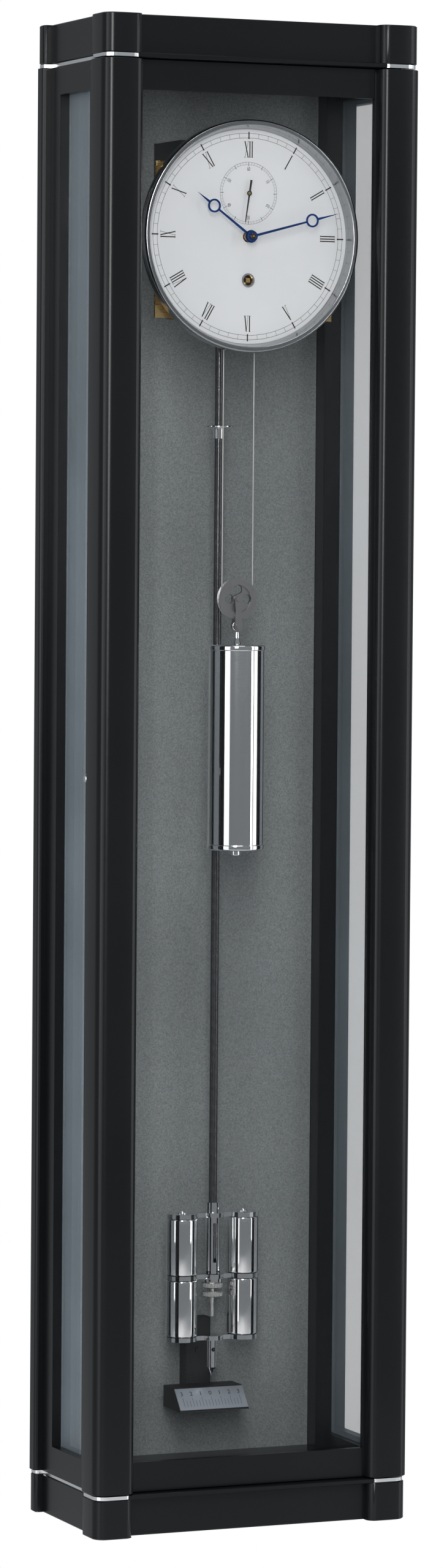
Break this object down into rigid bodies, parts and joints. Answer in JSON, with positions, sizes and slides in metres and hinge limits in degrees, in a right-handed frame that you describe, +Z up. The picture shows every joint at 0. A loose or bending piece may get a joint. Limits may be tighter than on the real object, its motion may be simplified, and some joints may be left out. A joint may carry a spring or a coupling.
{
  "type": "pendulum clock",
  "caption": "Tall glazed wall regulator clock in a black lacquered case, with a round silver dial, a driving weight on a pulley and a seconds pendulum over a beat scale",
  "frame": {"origin": "at the hanging plate's hole, 80 mm below the top, in the plane of the wall", "axes": "+Z up, +X to the right seen from the front, the front faces -Y"},
  "size_m": [0.2994, 0.164, 1.32],
  "materials": {
    "black_lacquer": "satin black lacquer",
    "band_aluminium": "polished",
    "clear_glass": "clear polished",
    "grey_panel": "finely speckled satin grey lacquer",
    "steel": "ground",
    "polished_chrome": "mirror polished",
    "dial_silver": "matt silver-white with printed chapters",
    "blued_steel": "heat blued",
    "black_metal": "matt black",
    "bronze_nut": "dark bronze",
    "brass": "brushed",
    "carbon": "glossy carbon composite",
    "line_steel": "fine stranded line"
  },
  "bodies": {
    "case": {"crown_block": "black_lacquer", "crown_band": "band_aluminium", "base_band": "band_aluminium", "base_block": "black_lacquer", "side_frame_left": "black_lacquer", "side_frame_right": "black_lacquer", "side_glass_left": "clear_glass", "side_glass_right": "clear_glass", "back_panel": "grey_panel", "wall_hanger": "steel", "door_pivot_lower": "steel", "door_pivot_upper": "steel", "latch_collar": "polished_chrome", "dial_plate": "dial_silver", "bezel": "polished_chrome", "winding_grommet": "polished_chrome", "front_plate": "brass", "back_plate": "brass", "movement_bracket": "black_metal", "line_drum_side": "line_steel", "line_fixed_side": "line_steel", "scale_bracket": "black_metal", "scale_plate": "dial_silver"},
    "door": {"door_post_left": "black_lacquer", "door_post_right": "black_lacquer", "door_rail_top": "black_lacquer", "door_rail_bottom": "black_lacquer", "door_glass": "clear_glass", "door_bead": "black_lacquer"},
    "latch": {"latch_knob": "polished_chrome"},
    "drum": {"winding_drum": "brass"},
    "great": {"great_wheel": "brass"},
    "minute": {"centre_wheel": "brass", "minute_hand": "blued_steel", "hand_nut": "bronze_nut"},
    "minute_wheel": {"minute_wheel": "brass"},
    "hour": {"hour_wheel": "brass", "hour_hand": "blued_steel"},
    "third": {"third_wheel": "brass"},
    "escape": {"escape_wheel": "brass", "seconds_hand": "black_metal"},
    "anchor": {"anchor": "steel"},
    "pendulum": {"suspension_spring": "steel", "pendulum_rod": "carbon", "weight_tray": "polished_chrome", "bob_link_top": "polished_chrome", "bob_link_middle": "polished_chrome", "bob_link_bottom": "polished_chrome", "bob_cylinder_left": "polished_chrome", "bob_cylinder_right": "polished_chrome", "bob_tube": "polished_chrome", "rating_screw": "brass", "rating_nut": "polished_chrome", "lock_nut": "polished_chrome", "pointer": "polished_chrome"},
    "weight": {"weight_body": "polished_chrome", "stirrup": "polished_chrome", "line_bight": "line_steel"},
    "pulley": {"pulley": "polished_chrome"}
  },
  "joints": [
    {"name": "door_hinge", "type": "hinge", "parent": "case", "child": "door", "pos_m": [0.1437, -0.1326, -0.58], "axis": [0, 0, 1], "range_deg": [0, 110]},
    {"name": "latch_press", "type": "slide", "parent": "case", "child": "latch", "axis": [1, 0, 0], "range_m": [0, 0.002], "stiffness_N_per_m": 400, "springref_m": -0.001},
    {"name": "weight_drop", "type": "slide", "parent": "case", "child": "weight", "axis": [0, 0, -1], "range_m": [-0.185, 0.529], "deforming": ["line_drum_side", "line_fixed_side"]},
    {"name": "drum_turn", "type": "hinge", "parent": "case", "child": "drum", "pos_m": [0, -0.117, -0.1448], "axis": [0, 1, 0], "range_deg": [-1455, 4160]},
    {"name": "pulley_spin", "type": "hinge", "parent": "weight", "child": "pulley", "pos_m": [0, -0.1106, -0.4234], "axis": [0, 1, 0], "range_deg": [-730, 2080]},
    {"name": "great_turn", "type": "hinge", "parent": "case", "child": "great", "pos_m": [0, -0.1, -0.1448], "axis": [0, 1, 0], "continuous": true},
    {"name": "minute_turn", "type": "hinge", "parent": "case", "child": "minute", "pos_m": [0, -0.1, -0.1068], "axis": [0, 1, 0], "continuous": true},
    {"name": "minute_wheel_turn", "type": "hinge", "parent": "case", "child": "minute_wheel", "pos_m": [0.00848, -0.12, -0.11528], "axis": [0, 1, 0], "continuous": true},
    {"name": "hour_turn", "type": "hinge", "parent": "case", "child": "hour", "pos_m": [0, -0.125, -0.1068], "axis": [0, 1, 0], "continuous": true},
    {"name": "third_turn", "type": "hinge", "parent": "case", "child": "third", "pos_m": [0.01691, -0.1, -0.08575], "axis": [0, 1, 0], "continuous": true},
    {"name": "escape_turn", "type": "hinge", "parent": "case", "child": "escape", "pos_m": [0, -0.1, -0.069], "axis": [0, 1, 0], "continuous": true},
    {"name": "pendulum_swing", "type": "hinge", "parent": "case", "child": "pendulum", "pos_m": [0, -0.0666, -0.03484], "axis": [0, 1, 0], "range_deg": [-2.5, 2.5]},
    {"name": "anchor_rock", "type": "hinge", "parent": "case", "child": "anchor", "pos_m": [0, -0.09, -0.03484], "axis": [0, 1, 0], "range_deg": [-2.6, 2.6]}
  ],
  "couplings": [
    {"joint": "drum_turn", "follows": "weight_drop", "rad_per_m": 136.99},
    {"joint": "pulley_spin", "follows": "weight_drop", "rad_per_m": 68.493},
    {"joint": "great_turn", "follows": "minute_turn", "ratio": -0.083333},
    {"joint": "minute_wheel_turn", "follows": "minute_turn", "ratio": -0.33333},
    {"joint": "hour_turn", "follows": "minute_turn", "ratio": 0.083333},
    {"joint": "third_turn", "follows": "minute_turn", "ratio": -8},
    {"joint": "escape_turn", "follows": "minute_turn", "ratio": 60},
    {"joint": "anchor_rock", "follows": "pendulum_swing", "ratio": 1}
  ]
}
